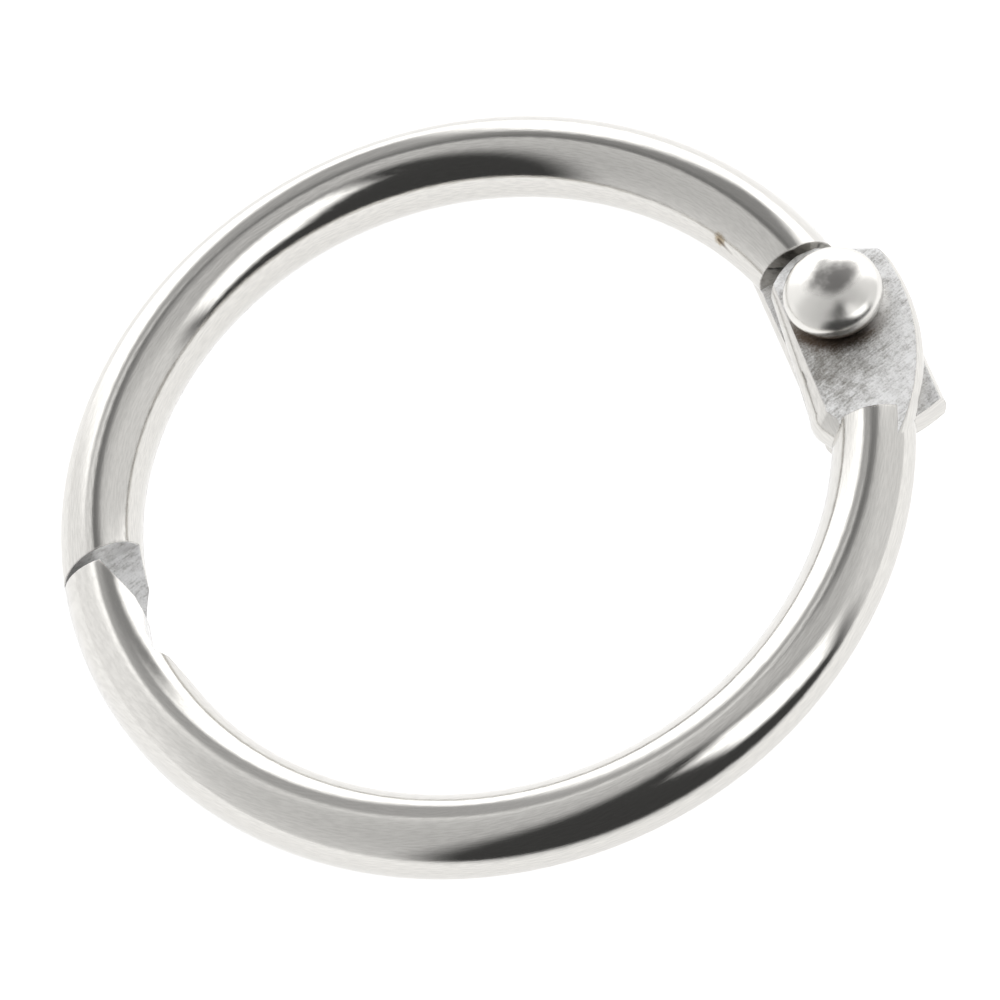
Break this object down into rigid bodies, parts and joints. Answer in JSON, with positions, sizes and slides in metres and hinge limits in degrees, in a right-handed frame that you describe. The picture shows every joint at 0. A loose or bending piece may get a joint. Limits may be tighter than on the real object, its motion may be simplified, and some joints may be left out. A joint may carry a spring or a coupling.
{
  "type": "hinged loose-leaf ring",
  "caption": "Hinged ring of round plated steel wire that opens on a domed rivet and closes with lapped tips, to hold punched cards or sheets together.",
  "frame": {"origin": "centre of the closed ring, in the middle plane of the wire", "axes": "+Z out of the ring's front face, where the domed rivet head stands; +X to the hinge; +Y to the upper half of the picture"},
  "size_m": [0.0324, 0.031, 0.0044],
  "materials": {
    "nickel_plate": "bright nickel plate on steel wire",
    "rivet_plate": "bright nickel plate on a steel rivet"
  },
  "bodies": {
    "rear_half": {"rear_half": "nickel_plate", "hinge_rivet": "rivet_plate"},
    "front_half": {"front_half": "nickel_plate"}
  },
  "joints": [
    {"name": "ring_hinge", "type": "hinge", "parent": "rear_half", "child": "front_half", "pos_m": [0.01438, 0.00093, 0], "axis": [0, 0, 1], "range_deg": [0, 104]}
  ]
}
